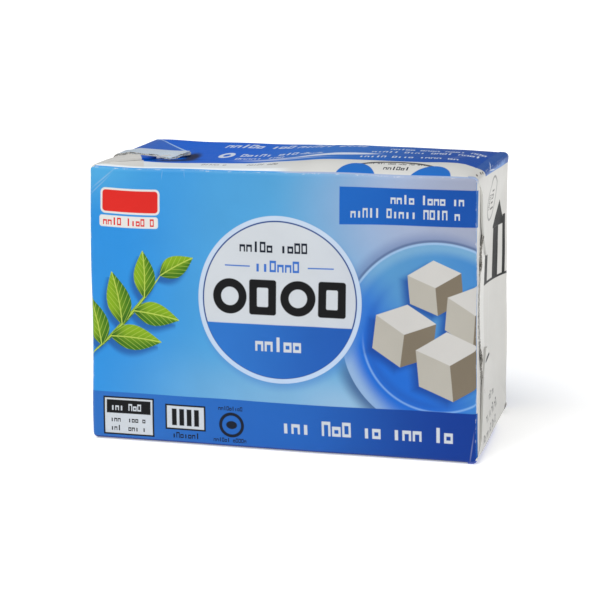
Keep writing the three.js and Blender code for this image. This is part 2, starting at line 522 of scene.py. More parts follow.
def sheet_place(face, point):
    """Where a body point lies on the sheet, as fractions of its side."""
    if in_groove(face.center):
        (left, low), scale = GROOVE_ROOM
        across, up = (point.x - LEFT + point.z) / MM, (point.y + DEPTH / 2 + point.z) / MM
        return (left + scale * across) / SHEET, (low + scale * up) / SHEET
    panel = panel_of(face.normal)
    start, (left, low), scale = PANEL_ROOM[panel]
    across, up = (place - first for place, first in zip(blank_place(point, panel), start))
    if panel == "back":
        across, up = H - up, across
    return (left + scale * across) / SHEET, (low + scale * up) / SHEET


write_map(body, "OFBake", sheet_place)
sheet_size = [max(corner.uv[i] for corner in body.data.uv_layers["OFBake"].data) for i in (0, 1)]
print("sheet used up to:", [round(side, 3) for side in sheet_size])

# %% [markdown]
# On a flap, the print follows the board round the fold, so a flap's map runs on from its panel.

# %% Maps of the flaps
def past_fold(point, corner, before, after):
    """Distance from the fold's middle along the board: below 0 before the fold."""
    a = (point - corner).dot(before)
    b = (point - corner).dot(after)
    if a > FOLD:
        return -a
    if b > FOLD:
        return b
    angle = math.atan2(FOLD - a, max(FOLD - b, 1e-9))
    return FOLD * (4 * angle / math.pi - 1)


def flap_place(fold, where):
    """A map of a flap, from where(run past the fold, depth from the front)."""

    def place(face, point):
        """Where a flap's point lies on the blank."""
        return where(past_fold(point, *fold) / MM, (point.y + DEPTH / 2) / MM)

    return place


left_place = flap_place(LEFT_TOP, lambda run, y: (-y, H + run))
flap_maps = {
    "ear_top_left": left_place,
    "ear_top_right": flap_place(RIGHT_TOP, lambda run, y: (W + run, H + y)),
    "ear_base_right": flap_place(RIGHT_BASE, lambda run, y: (W + run, -y)),
    "ear_base_left": lambda face, p: (-(p.y + DEPTH / 2) / MM, -(p.x - LEFT) / MM),
    "fin_left_inner": left_place,
    "fin_left_outer": left_place,
    "fin_right_inner": lambda face, p: (W + (p.y + DEPTH / 2) / MM, p.z / MM),
    "fin_right_outer": lambda face, p: (W + (p.y + DEPTH / 2) / MM, p.z / MM),
    "seam_back": lambda face, p: ((p.x - LEFT) / MM, BACK_TOP + H - p.z / MM),
}
for name, place in flap_maps.items():
    write_map(bpy.data.objects[name], "Print", place)
print("flaps with a map:", list(flap_maps))

# %% [markdown]
# A full pack is never crisp: its big panels swell, the right end sinks between its ears, and the left
# end leans. All pieces go through one cage, a lattice, so that they stay together.

# %% The cage
CAGE_STEPS = (25, 13, 11)
CAGE_SIZE = Vector((WIDTH * 1.2, DEPTH * 1.2, HEIGHT * 1.25))


def hill(a, b):
    """1 in the middle of a panel, and 0 at its folds."""
    return max(0, 1 - a * a) * max(0, 1 - b * b)


def top_rise(u, v):
    """How far the top panel stands over the crisp box."""
    run = smooth_step((u - TOP_SWELL_FROM) / (TOP_SWELL_TO - TOP_SWELL_FROM))
    swell = TOP_SWELL * run * max(0, 1 - abs(u) ** 10) * (1 - TOP_SWELL_LEAN * v)
    sag = TOP_SAG * max(0, 1 - ((u - TOP_SAG_MIDDLE) / TOP_SAG_REACH) ** 2) ** 2
    return (swell - sag) * max(0, 1 - abs(v) ** 4)


BOW_MIDDLE, BOW_REACH = -0.15, 0.85  # of half the width, along the upper back fold
RISE_FROM, RISE_RUN = 0.75, 0.2  # of half the width, towards the upper left fold
RIPPLE = 0.3 * MM  # the soft unevenness of filled board
RIPPLE_FULL = 0.3  # of the height, below which the ripple fades, so that the base stays flat
RIPPLE_LENGTH = 17 * MM
RIPPLE_SHIFTS = (Vector((0.0, 0.0, 0.0)), Vector((31.4, 7.1, 2.3)), Vector((5.2, 47.8, 11.9)))


def settle(point):
    """Moves a point of the crisp box to its place on the filled and settled pack."""
    u = point.x / (WIDTH / 2)
    v = point.y / (DEPTH / 2)
    w = (point.z - HEIGHT / 2) / (HEIGHT / 2)
    sink = RIGHT_SINK if point.x > 0 else LEFT_SINK
    x = point.x - sink * u * hill(v, w)
    y = point.y + FACE_SWELL * v * hill(u, w)
    back_bow = BACK_BOW * clamp(v) * max(0, 1 - abs((u - BOW_MIDDLE) / BOW_REACH) ** 4)
    left_rise = LEFT_TOP_RISE * clamp((-u - RISE_FROM) / RISE_RUN)
    z = point.z + max(w, 0) * (top_rise(u, v) + back_bow + left_rise)
    to_left, to_front, to_top = clamp((1 - u) / 2), clamp((1 - v) / 2), clamp((1 + w) / 2)
    x += to_left * (-LEFT_BASE_FLARE * (1 - to_top) + LEFT_TOP_PINCH * to_top)
    y += to_left * to_front * (-FRONT_BASE_FLARE * (1 - to_top) + FRONT_TOP_PINCH * to_top)
    z -= (1 - to_left) * (1 - to_front) * to_top * BACK_CORNER_SAG
    ripple = Vector(noise.noise(point / RIPPLE_LENGTH + shift) for shift in RIPPLE_SHIFTS) * RIPPLE
    ripple.z *= clamp(point.z / (RIPPLE_FULL * HEIGHT))
    return Vector((x, y, z)) + ripple


bpy.ops.object.select_all(action="DESELECT")
bpy.ops.object.add(type="LATTICE", location=(0, 0, HEIGHT / 2))
cage = bpy.context.object
cage.data.points_u, cage.data.points_v, cage.data.points_w = CAGE_STEPS
for way in "uvw":
    setattr(cage.data, "interpolation_type_" + way, "KEY_CATMULL_ROM")
cage.scale = CAGE_SIZE
bpy.context.view_layer.update()
for point in cage.data.points:
    start = cage.matrix_world @ point.co
    point.co_deform = cage.matrix_world.inverted() @ settle(start)

pieces = [body, *ears.values(), *fins.values(), seam]
for piece in pieces:
    apply_modifier(piece, "LATTICE", object=cage)
bpy.data.objects.remove(cage)
print_size(body)

# %% [markdown]
# The folds are round and shade smoothly. Only the cut edges of the board stay sharp.

# %% Smooth shading
SHARP_ANGLE = math.radians(40)  # edges sharper than this stay crisp
for piece in pieces:
    make_active(piece)
    bpy.ops.object.shade_smooth_by_angle(angle=SHARP_ANGLE)
print("smooth:", len(pieces), "pieces")

# %% [markdown]
# The print is ink on coated board, in flat fields and simple shapes. Every shape is a mask worked out
# from the place on the blank, and the masks lay one ink over another. Small functions add the nodes,
# and what a node gives is wrapped, so that a sum is written as a sum and a shape is one line.

# %% Helpers for node trees
def linear(value):
    """One screen value, 0..255, as linear light."""
    return value / 255 / 12.92 if value <= 10 else ((value / 255 + 0.055) / 1.055) ** 2.4


def ink(*screen):
    """A colour given as red, green and blue screen values, as Blender's linear colour."""
    return tuple(linear(value) for value in screen) + (1,)


class Value:
    """What comes out of a node. Sums with it add nodes to its tree."""

    def __init__(self, socket):
        self.socket = socket

    def __add__(self, other):
        return number("ADD", self, other)

    def __sub__(self, other):
        return number("SUBTRACT", self, other)

    def __rsub__(self, other):
        return number("SUBTRACT", other, self)

    def __mul__(self, other):
        return number("MULTIPLY", self, other)

    def __truediv__(self, other):
        return number("DIVIDE", self, other)

    def __neg__(self):
        return number("MULTIPLY", self, -1.0)

    def __abs__(self):
        return number("ABSOLUTE", self)


def feed(socket, value):
    """Links a value that comes from a node, or sets a plain one."""
    if isinstance(value, Value):
        socket.id_data.links.new(value.socket, socket)
    else:
        socket.default_value = value


def new_node(kind, values, **settings):
    """A node in the tree that its values come from."""
    tree = next(value.socket.id_data for value in values if isinstance(value, Value))
    node = tree.nodes.new(kind)
    for name, value in settings.items():
        setattr(node, name, value)
    return node


def add_node(kind, values, **settings):
    """Adds a node, sets it up and feeds its first inputs in order."""
    node = new_node(kind, values, **settings)
    for socket, value in zip(node.inputs, values):
        feed(socket, value)
    return node


def number(operation, *values):
    """The result of one sum."""
    return Value(add_node("ShaderNodeMath", values, operation=operation).outputs[0])


def larger(a, b):
    """The larger of two numbers."""
    return number("MAXIMUM", a, b)


def smaller(a, b):
    """The smaller of two numbers."""
    return number("MINIMUM", a, b)


def ramp(value, low, high):
    """0 where the value is at low, 1 at high, and held outside."""
    node = add_node(
        "ShaderNodeMapRange", (value, low, high, 0.0, 1.0), interpolation_type="SMOOTHSTEP"
    )
    node.clamp = False
    return Value(node.outputs["Result"])


def lay(under, over, mask):
    """One ink over another, where the mask is 1."""
    node = new_node("ShaderNodeMix", (mask,), data_type="RGBA")
    sockets = {socket.identifier: socket for socket in (*node.inputs, *node.outputs)}
    feed(sockets["Factor_Float"], mask)
    feed(sockets["A_Color"], under)
    feed(sockets["B_Color"], over)
    return Value(sockets["Result_Color"])


def uneven(place, scale, detail, roughness=0.5):
    """A value that wanders between 0 and 1 from place to place."""
    node = add_node("ShaderNodeTexNoise", (place,))
    for label, value in (("Scale", scale), ("Detail", detail), ("Roughness", roughness)):
        node.inputs[label].default_value = value
    return Value(node.outputs["Fac"])


def by_name(sockets, kind=Value):
    """Sockets or their values as names: Half X becomes half_x."""
    named = {s.name.lower().replace(" ", "_"): kind(s) for s in sockets if s.name}
    return SimpleNamespace(**named)


def plain_socket(socket):
    """The socket itself, for one that is fed."""
    return socket


FLOAT, PLACE, COLOUR = "NodeSocketFloat", "NodeSocketVector", "NodeSocketColor"


def new_group(name, inputs, outputs):
    """An empty shader group. Each input has a plain number to start from, or a kind of socket."""
    tree = bpy.data.node_groups.new(name, "ShaderNodeTree")
    for label, start in inputs.items():
        plain = isinstance(start, float)
        kind = FLOAT if plain else start
        socket = tree.interface.new_socket(label, in_out="INPUT", socket_type=kind)
        if plain:
            socket.default_value = start
    for label, kind in outputs.items():
        tree.interface.new_socket(label, in_out="OUTPUT", socket_type=kind)
    given, result = tree.nodes.new("NodeGroupInput"), tree.nodes.new("NodeGroupOutput")
    return tree, by_name(given.outputs), by_name(result.inputs, plain_socket)


def use_group(group, **values):
    """Places a group in the tree that its values come from, and gives its results by name."""
    node = new_node("ShaderNodeGroup", values.values(), node_tree=group)
    sockets = by_name(node.inputs, plain_socket)
    for name, value in values.items():
        feed(getattr(sockets, name), value)
    return by_name(node.outputs)


SHARP = 0.12  # half the width of an ink edge, in millimetres


def edge_mask(distance, soft):
    """1 inside a shape and 0 outside, from the distance to its outline."""
    return ramp(-distance, -soft, soft)


print("a shape's edge is soft over", 2 * SHARP, "mm")

# %% [markdown]
# Five shapes make up the print. They are groups, used again and again. The first two are a box with
# round corners and an oval.

# %% Box and oval
SHAPE_PLACE = {"U": 0.0, "V": 0.0, "X": 0.0, "Y": 0.0}
TURN_SOFT = {"Turn": 0.0, "Soft": SHARP}
HALF_SIZE = {"Half X": 1.0, "Half Y": 1.0}


def own_place(given):
    """Where a place on the blank lies, seen from a shape's centre and turned with it."""
    turn = given.turn * (math.pi / 180)
    cosine, sine = number("COSINE", turn), number("SINE", turn)
    across = given.u - given.x
    up = given.v - given.y
    x = across * cosine + up * sine
    y = up * cosine - across * sine
    return x, y


def line_length(x, y):
    """The length of the line from 0, 0 to x, y."""
    return number("SQRT", x * x + y * y)


def round_box_distance(beyond_x, beyond_y, corner):
    """Distance to a box with round corners, from how far a place is beyond its inner corners."""
    outer = [larger(value, 0.0) for value in (beyond_x, beyond_y)]
    depth = smaller(larger(beyond_x, beyond_y), 0.0)
    return line_length(*outer) + depth - corner


box_shape, given, result = new_group(
    "Box Shape", SHAPE_PLACE | HALF_SIZE | {"Corner": 0.0} | TURN_SOFT, {"Mask": FLOAT}
)
x, y = own_place(given)
beyond_x = abs(x) - (given.half_x - given.corner)
beyond_y = abs(y) - (given.half_y - given.corner)
distance = round_box_distance(beyond_x, beyond_y, given.corner)
feed(result.mask, edge_mask(distance, given.soft))

oval_shape, given, result = new_group(
    "Oval Shape", SHAPE_PLACE | HALF_SIZE | TURN_SOFT, {"Mask": FLOAT, "Ring": FLOAT}
)
x, y = own_place(given)
ring = line_length(x / given.half_x, y / given.half_y) - 1.0
distance = ring * smaller(given.half_x, given.half_y)
feed(result.mask, edge_mask(distance, given.soft))
feed(result.ring, distance)
print("shapes:", [group.name for group in bpy.data.node_groups])

# %% [markdown]
# A leaf lies along a bent middle line. It tells how far across and along it a place is, and where
# its veins are.

# %% Leaf
LEAF_SIZE = {"Length": 12.0, "Half Width": 3.0, "Bend": 0.1}
HALF_RIB, VEIN_SLANT, VEIN_TURNS = 0.22, 1.6, 3.2
leaf_shape, given, result = new_group(
    "Leaf Shape",
    SHAPE_PLACE | LEAF_SIZE | TURN_SOFT,
    {"Mask": FLOAT, "Across": FLOAT, "Along": FLOAT, "Vein": FLOAT},
)
x, y = own_place(given)
along = smaller(larger(x / given.length, 0.0), 1.0)
off = y - along * along * given.bend * given.length
half = number("SINE", number("POWER", along, 0.8) * math.pi) * given.half_width
side = abs(off)
inside = edge_mask(side - half, given.soft)
ends = ramp(along, 0.0, 0.02) * ramp(along, 1.0, 0.98)
feed(result.mask, inside * ends)
feed(result.across, off / larger(half, 0.1))
feed(result.along, along)
rib = ramp(side, HALF_RIB, 0.08)
vein = ramp(number("SINE", (side * VEIN_SLANT - x) * VEIN_TURNS), 0.75, 0.95)
feed(result.vein, larger(rib, vein * 0.5))
print("leaf nodes:", len(leaf_shape.nodes))

# %% [markdown]
# A cube is seen from above one corner, with a top and two sides.

# %% Cube
cube_shape, given, result = new_group(
    "Cube Shape",
    SHAPE_PLACE | {"Half Width": 6.0, "Rise": 3.5} | TURN_SOFT,
    {"Mask": FLOAT, "Top": FLOAT, "Left": FLOAT},
)
CUBE_SLOPE = 0.52
x, y = own_place(given)
side = abs(x)
slant = (given.half_width - side) * CUBE_SLOPE
distance = larger(side - given.half_width, abs(y) - (given.rise + slant))
feed(result.mask, edge_mask(distance, given.soft))
feed(result.top, ramp(y - (given.rise - slant), -SHARP, SHARP))
feed(result.left, ramp(x, SHARP, -SHARP))
print("cube nodes:", len(cube_shape.nodes))

# %% [markdown]
# A row of bars stands where a line of type would be. Where wanted, the bars are broken into short
# strokes of two heights, which spell nothing.

# %% Row of bars and strokes
ROW_SIZE = {"Length": 10.0, "Half Height": 0.6, "Word": 4.0, "Seed": 0.0, "Letters": 0.0, "Pitch": 1.25}
LOW_STROKES, STEMS, OPEN_STROKES = 0.35, 0.28, 0.7  # which strokes are low, thin or open below
word_row, given, result = new_group("Word Row", SHAPE_PLACE | ROW_SIZE | TURN_SOFT, {"Mask": FLOAT})
x, y = own_place(given)
wobble = number("SINE", x * 0.6 + given.seed)
place_in = number("FRACT", (wobble * 1.2 + x) / given.word) * given.word
gap = given.half_height * 0.4 - smaller(place_in, given.word - place_in)
beside = larger(larger(-x, x - given.length), gap)
above = abs(y) - given.half_height
corner = given.half_height * 0.5
bars = edge_mask(round_box_distance(beside + corner, above + corner, corner), given.soft)
# every stroke has a chance of its own, from the far digits of a sum, which picks its height and kind
pitch = given.half_height * given.pitch
stroke = x / pitch
from_middle = abs(number("FRACT", stroke) - 0.5)
stroke_seed = number("MULTIPLY_ADD", given.seed, 5.3, number("FLOOR", stroke))
scatter = number("SINE", number("MULTIPLY_ADD", stroke_seed, 12.99, 1.7))
chance = number("FRACT", number("MULTIPLY_ADD", scatter, 437.58, 600.0))
level = y / given.half_height
under_cap = number("GREATER_THAN", chance, LOW_STROKES) * -0.6 + 1.0 - level
kind = number("FRACT", chance * 7.3)
stem = number("LESS_THAN", kind, STEMS)
kept = edge_mask(from_middle - (stem * -0.26 + 0.42), 0.05)
kept = kept * ramp(under_cap, 0.0, 0.12) * ramp(level, -1.0, -0.9)
closed = ramp(level, -0.65, -0.5)
hole = ramp(under_cap, 0.4, 0.55) * larger(closed, number("GREATER_THAN", kind, OPEN_STROKES))
hole = hole * ramp(from_middle, 0.24, 0.17) * (1.0 - stem)
kept = kept * (1.0 - hole)
# a stroke is whole or left out, at the row's ends and at the gaps between words
stroke_at = (number("FLOOR", stroke) + 0.5) * pitch
kept = kept * number("GREATER_THAN", stroke_at, 0.0) * number("LESS_THAN", stroke_at, given.length)
in_word = number("FRACT", (pitch * 0.6 + stroke_at) / given.word)
kept = kept * number("GREATER_THAN", in_word, pitch / given.word)
feed(result.mask, larger(bars * (1.0 - given.letters), kept * given.letters))
print("row nodes:", len(word_row.nodes))

# %% [markdown]
# Every panel shares one finish: board with a thin plastic coat. It is almost smooth, with the faint
# tooth of paper fibres under the coat, and the ink is rubbed pale here and there along the folds.
# The group takes a panel's ink, its distance to the nearest fold and its creases, and gives the
# worn ink, the roughness and the height.

# %% Coated board group
coated_board, given, result = new_group(
    "Coated Board",
    {"Place": PLACE, "Ink": COLOUR, "From Fold": 10.0, "Wear": 0.5, "Crease": 0.0},
    {"Colour": COLOUR, "Roughness": FLOAT, "Height": FLOAT},
)
PAPER = ink(214, 216, 216)
rub = uneven(given.place, 0.45, 6.0, 0.65)
fray = rub * 3.2 - 1.75  # how far the wear reaches from a fold, in millimetres
worn = ramp(fray - given.from_fold, -0.35, 0.25) * given.wear
colour = lay(given.ink, PAPER, larger(worn, given.crease * 0.2))
mottle = uneven(given.place, 0.09, 4.0)
scaled = add_node("ShaderNodeVectorMath", (colour,), operation="SCALE")
feed(scaled.inputs["Scale"], mottle * 0.12 + 0.94)
feed(result.colour, Value(scaled.outputs["Vector"]))
fibre = uneven(given.place, 1.6, 5.0, 0.6)
feed(result.roughness, rub * 0.2 + 0.26)
feed(result.height, given.crease * 2.5 + (mottle * 3.0 + fibre))
print("board nodes:", len(coated_board.nodes))

# %% [markdown]
# One object looks after each panel's material: it lays inks and shapes at places given in
# millimetres on the blank, and puts the shared finish over them at the end.

# %% A panel's print
BUMP_STRENGTH, BUMP_DISTANCE = 0.35, 0.05 * MM


class Print:
    """A panel's print while it is laid down, ink by ink, in millimetres on the blank."""

    def __init__(self, name, ground):
        self.material = bpy.data.materials.new(name)
        self.material.use_nodes = True
        self.tree = self.material.node_tree
        uv = self.tree.nodes.new("ShaderNodeUVMap")
        uv.uv_map = "Print"
        self.place = Value(uv.outputs["UV"])
        split = add_node("ShaderNodeSeparateXYZ", (self.place,))
        self.u, self.v = Value(split.outputs["X"]), Value(split.outputs["Y"])
        self.colour = ground
        self.creases = []

    def lay(self, over, mask, strength=1.0):
        """Lays an ink over the others where the mask is 1."""
        if strength < 1:
            mask = mask * strength
        self.colour = lay(self.colour, over, mask)

    def report(self, part):
        """Prints how much of the print there is so far."""
        print(self.material.name, part, "- nodes:", len(self.tree.nodes))

    def shape(self, group, x, y, **values):
        """A shape group at a place on the panel."""
        return use_group(group, u=self.u, v=self.v, x=x, y=y, **values)

    def box(self, x, y, half_x, half_y, **values):
        """The mask of a box."""
        return self.shape(box_shape, x, y, half_x=half_x, half_y=half_y, **values).mask

    def oval(self, x, y, half_x, half_y=None, **values):
        """An oval: its mask, and how far a place is from its outline."""
        return self.shape(oval_shape, x, y, half_x=half_x, half_y=half_y or half_x, **values)

    def ring(self, x, y, radius, half_line, soft=SHARP):
        """The mask of a ring."""
        off = abs(self.oval(x, y, radius).ring)
        return edge_mask(off - half_line, soft)

    def words(self, x, y, length, half_height, word, seed=0.0, **values):
        """The mask of a row of bars, from its left end."""
        row = {"length": length, "half_height": half_height, "word": word, "seed": seed}
        return self.shape(word_row, x, y, **row, **values).mask

    def strokes(self, colour, *row, strength=1.0, **values):
        """Lays a row that is broken into strokes."""
        self.lay(colour, self.words(*row, letters=1.0, **values), strength)

    def crease(self, x, y, half_length, turn, half_width=0.25):
        """Adds a fine line that the finish raises and rubs."""
        line = self.oval(x, y, half_length, half_width, turn=turn, soft=half_width).mask
        self.creases.append(line)

    def from_folds(self, low, high):
        """Distance to the nearest side of a rectangle on the blank."""
        sides = [
            abs(value - limit)
            for value, limits in ((self.u, (low[0], high[0])), (self.v, (low[1], high[1])))
            for limit in limits
        ]
        nearest = sides[0]
        for side in sides[1:]:
            nearest = smaller(nearest, side)
        return nearest

    def finish(self, from_fold=10.0, wear=0.5, specular=0.15):
        """Puts the shared finish between the ink and the shader."""
        crease = 0.0
        for line in self.creases:
            crease = larger(line, crease)
        wear_and_tear = {"from_fold": from_fold, "wear": wear, "crease": crease}
        board = use_group(coated_board, place=self.place, ink=self.colour, **wear_and_tear)
        shader = self.tree.nodes["Principled BSDF"]
        shader.inputs["Specular IOR Level"].default_value = specular
        bump = self.tree.nodes.new("ShaderNodeBump")
        bump.inputs["Strength"].default_value = BUMP_STRENGTH
        bump.inputs["Distance"].default_value = BUMP_DISTANCE
        feed(bump.inputs["Height"], board.height)
        feed(shader.inputs["Base Color"], board.colour)
        feed(shader.inputs["Roughness"], board.roughness)
        feed(shader.inputs["Normal"], Value(bump.outputs["Normal"]))
        self.report("finished")
        return self.material

# %% [markdown]
# Some inks are used on more than one panel.

# %% Inks
WHITE = ink(192, 197, 202)
WARM_WHITE = ink(213, 212, 208)
END_WHITE = ink(203, 202, 198)
GREY_INK = ink(150, 150, 148)
SOOT = ink(16, 18, 18)
NAVY = ink(12, 20, 36)
BLACK = ink(8, 9, 12)
TYPE_BLUE = ink(52, 104, 184)
RED = ink(206, 36, 30)
LAVENDER = ink(150, 166, 196)
print("ground of the ends, linear:", [round(value, 3) for value in END_WHITE])

# %% [markdown]
# The front is the pack's show side. The drawing is kept to plain shapes and soft shades of one ink
# over another. It starts with a sky of blue that fades to pale lavender at the upper right.

# %% Front: sky
front = Print("front_print", ink(40, 134, 206))
front.lay(ink(70, 148, 201), ramp(front.u, 8.0, 40.0))
front.lay(ink(82, 152, 197), ramp(front.u, 36.0, 64.0))
pale_middle = front.oval(98.0, 64.0, 1.25, 1.0).ring
front.lay(ink(152, 166, 194), ramp(pale_middle, 39.0, 8.0))
low = ramp(front.v, 27.0, 13.0) * ramp(front.u, 16.0, 62.0)
front.lay(ink(142, 176, 202), low, 0.85)
foot = ramp(front.v, 34.0, 14.0) * ramp(front.u, 68.0, 54.0)
front.lay(ink(98, 158, 198), foot * ramp(front.u, -4.0, 30.0), 0.5)
corner = ramp(front.v, 58.0, 74.0) * ramp(front.u, 30.0, 0.0)
front.lay(ink(86, 168, 208), corner, 0.7)
dull = ramp(front.u, 78.0, 104.0) * ramp(front.v, 46.0, 62.0)
front.lay(ink(146, 148, 164), dull, 0.7)
front.report("sky")

# %% [markdown]
# A round plate with a pale rim and a dull shadow stands at the right.

# %% Front: plate
PLATE = (93.0, 32.0)
PLATE_RADIUS = 24.5
shadow = front.oval(PLATE[0] - 1.0, PLATE[1] + 1.2, PLATE_RADIUS + 0.6, soft=1.8).mask
front.lay(ink(92, 112, 156), shadow * ramp(front.v, 22.0, 36.0), 0.6)
shadow = front.oval(PLATE[0] - 1.4, PLATE[1] - 0.8, PLATE_RADIUS + 0.6, soft=2.0).mask
front.lay(ink(58, 90, 134), shadow * ramp(front.v, 36.0, 18.0), 0.9)
plate = front.oval(*PLATE, PLATE_RADIUS)
plate_x = (front.u - PLATE[0]) / PLATE_RADIUS
plate_y = (front.v - PLATE[1]) / PLATE_RADIUS
lean = plate_y * 0.8 + plate_x
face = lay(ink(78, 138, 186), ink(58, 124, 188), ramp(plate_x, -0.5, 0.7))
face = lay(face, ink(24, 98, 192), ramp(lean, 0.1, -0.7))
pale_rim = ramp(plate.ring, -5.0, -0.5) * ramp(plate_x, -0.1, -0.8)
face = lay(face, ink(134, 164, 200), pale_rim * ramp(plate_y, 0.3, -0.4))
face = lay(face, ink(108, 156, 192), ramp(plate.ring, -4.0, -1.2) * ramp(lean, -0.9, 0.3))
edge_light = ramp(plate.ring, -0.75, -0.4) * ramp(plate_y, -0.6, 0.3)
face = lay(face, ink(144, 176, 210), edge_light)
front.lay(face, plate.mask)
under_edge = front.ring(PLATE[0], PLATE[1], PLATE_RADIUS + 0.3, 0.3, soft=0.3)
front.lay(ink(70, 92, 128), under_edge * ramp(plate_y, -0.2, 0.4), 0.7)
well = front.ring(*PLATE, PLATE_RADIUS - 5.5, 0.18, soft=0.35) * ramp(plate_y, 0.1, -0.3)
front.lay(ink(150, 190, 228), well, 0.7)
well_shade = front.ring(*PLATE, PLATE_RADIUS - 7.0, 0.9, soft=1.2) * ramp(lean, 0.2, -0.8)
front.lay(ink(24, 84, 172), well_shade, 0.7)
front.report("plate")

# %% [markdown]
# Four cubes of tofu lie on the plate. All their shadows are laid before the first cube.

# %% Front: cubes
CUBES = (  # place, half width, rise and turn, from the back of the plate to its front
    (92.5, 45.0, 6.6, 3.6, 4.0),
    (102.5, 38.0, 7.4, 4.2, -5.0),
    (84.5, 32.5, 7.6, 4.3, -7.0),
    (96.0, 25.0, 8.2, 4.7, 5.0),
)
CUBE_SHADE = (-1.5, -1.1)
for x, y, half, rise, turn in CUBES:
    size = {"half_width": half, "rise": rise, "turn": turn}
    shade = front.shape(cube_shape, x + CUBE_SHADE[0], y + CUBE_SHADE[1], soft=1.5, **size).mask
    front.lay(ink(14, 62, 142), shade, 0.85)
for x, y, half, rise, turn in CUBES:
    cube = front.shape(cube_shape, x, y, half_width=half, rise=rise, turn=turn)
    face = lay(ink(116, 106, 90), ink(170, 166, 156), cube.left)
    face = lay(face, ink(192, 190, 186), cube.top)
    front.lay(face, cube.mask)
front.report("cubes")

# %% [markdown]
# A green sprig stands at the left: a bent stem with leaves that turn to both sides.

# %% Front: sprig
LEAF_SHADE = (-1.0, -1.5)
STEM = (-1.0, 22.5)
STEM_TURN, STEM_LENGTH, STEM_BEND = 40.0, 33.0, 0.14


def on_stem(along):
    """A place on the bent stem, at a fraction of its length."""
    run, rise = along * STEM_LENGTH, STEM_BEND * along * along * STEM_LENGTH
    turn = math.radians(STEM_TURN)
    x = STEM[0] + run * math.cos(turn) - rise * math.sin(turn)
    return x, STEM[1] + run * math.sin(turn) + rise * math.cos(turn)


SPRIG = [(*STEM, STEM_TURN, STEM_LENGTH, 0.55, STEM_BEND)]
for along, turn, length, half, bend in (  # each leaf's place on the stem, way and sizes
    (0.16, 98.0, 13.0, 3.2, 0.10),
    (0.27, 2.0, 14.5, 3.4, -0.10),
    (0.41, 94.0, 14.0, 3.4, 0.12),
    (0.56, -4.0, 13.0, 3.1, -0.08),
    (0.70, 86.0, 12.5, 3.0, 0.10),
    (0.92, 34.0, 10.5, 2.9, -0.08),
):
    SPRIG.append((*on_stem(along), turn, length, half, bend))
for x, y, turn, length, half, bend in SPRIG:
    size = {"turn": turn, "length": length, "half_width": half, "bend": bend}
    shade = front.shape(leaf_shape, x + LEAF_SHADE[0], y + LEAF_SHADE[1], soft=1.1, **size).mask
    front.lay(ink(28, 78, 146), shade, 0.8)
for x, y, turn, length, half, bend in SPRIG:
    leaf = front.shape(leaf_shape, x, y, turn=turn, length=length, half_width=half, bend=bend)
    green = lay(ink(58, 108, 18), ink(124, 160, 26), ramp(leaf.across, -0.9, 0.7))
    green = lay(green, ink(44, 92, 20), ramp(leaf.along, 0.35, 0.0))
    green = lay(green, ink(172, 192, 78), leaf.vein)
    front.lay(green, leaf.mask)
front.report("sprig")

# %% [markdown]
# A white disc covers the middle, with a fine ring and a deep blue segment below. Heavy rings and
# frames, and rows of strokes, stand where the words would be.

# %% Front: disc
DISC = (52.0, 40.25)
DISC_RADIUS = 21.7
BORDER = 1.35  # from the disc's edge to its fine ring
shadow = front.oval(DISC[0] + 0.6, DISC[1] - 1.4, DISC_RADIUS, soft=1.6).mask
front.lay(ink(70, 124, 186), shadow, 0.6)
disc = front.oval(*DISC, DISC_RADIUS).mask
front.lay(WHITE, disc)
front.lay(ink(184, 190, 200), disc * ramp(front.u, 56.0, 78.0), 0.7)
front.lay(ink(172, 190, 216), disc * ramp(front.v, 36.0, 24.0), 0.9)
border = disc * ramp(front.oval(*DISC, DISC_RADIUS - BORDER).ring, -0.1, 0.1)
front.lay(ink(178, 198, 222), border, 0.7)
front.lay(ink(28, 62, 124), front.ring(*DISC, DISC_RADIUS - BORDER, 0.18))
deep = lay(ink(38, 106, 184), ink(24, 82, 164), ramp(front.u, 34.0, 70.0))
inside = front.oval(*DISC, DISC_RADIUS - 1.3).mask
front.lay(deep, inside * ramp(front.v, 34.0, 33.7))
for x in (38.9, 57.1):
    front.lay(BLACK, front.ring(x, 40.9, 3.5, 1.1))
    front.lay(BLACK, front.box(x + 8.9, 40.9, 3.6, 4.6, corner=0.7))
    front.lay(WHITE, front.box(x + 8.9, 40.9, 1.5, 2.5, corner=0.4))
front.strokes(NAVY, 41.5, 54.0, 20.0, 1.45, 9.5)
front.strokes(TYPE_BLUE, 45.5, 49.1, 12.9, 1.6, 20.0, 0.4)
for x in (41.0, 63.0):
    front.lay(TYPE_BLUE, front.box(x, 48.9, 3.4, 0.17))
front.strokes(WHITE, 45.6, 28.8, 12.6, 2.0, 20.0, 1.0)
front.report("disc")

# %% [markdown]
# A ribbon lies at the upper right, and a band runs along the lower fold.

# %% Front: ribbon and band
ribbon = lay(ink(20, 92, 176), ink(10, 72, 154), ramp(front.u, 68.0, 100.0))
front.lay(ribbon, front.box(87.7, 65.05, 19.85, 4.65))
front.strokes(WHITE, 81.0, 66.9, 18.2, 1.25, 7.6, 1.0)
front.strokes(WHITE, 70.6, 63.3, 28.2, 1.25, 8.8, 3.0)
BAND_TOP = 13.2
band = lay(ink(40, 102, 178), ink(28, 92, 172), ramp(front.u, 2.0, 52.0))
band = lay(band, ink(0, 50, 134), ramp(front.u, 48.0, 100.0))
front.lay(band, ramp(front.v, BAND_TOP + 0.15, BAND_TOP - 0.15))
front.lay(ink(4, 52, 132), ramp(front.v, 0.8, 0.3))
front.strokes(WHITE, 52.4, 7.0, 44.9, 2.1, 9.6, 2.0)
front.report("ribbon and band")

# %% [markdown]
# Small fields stand on the band's left: a framed field with rows, a framed grille, and a ring
# with a dot. A plain red field with a white border, and a bar under it, are at the upper left.

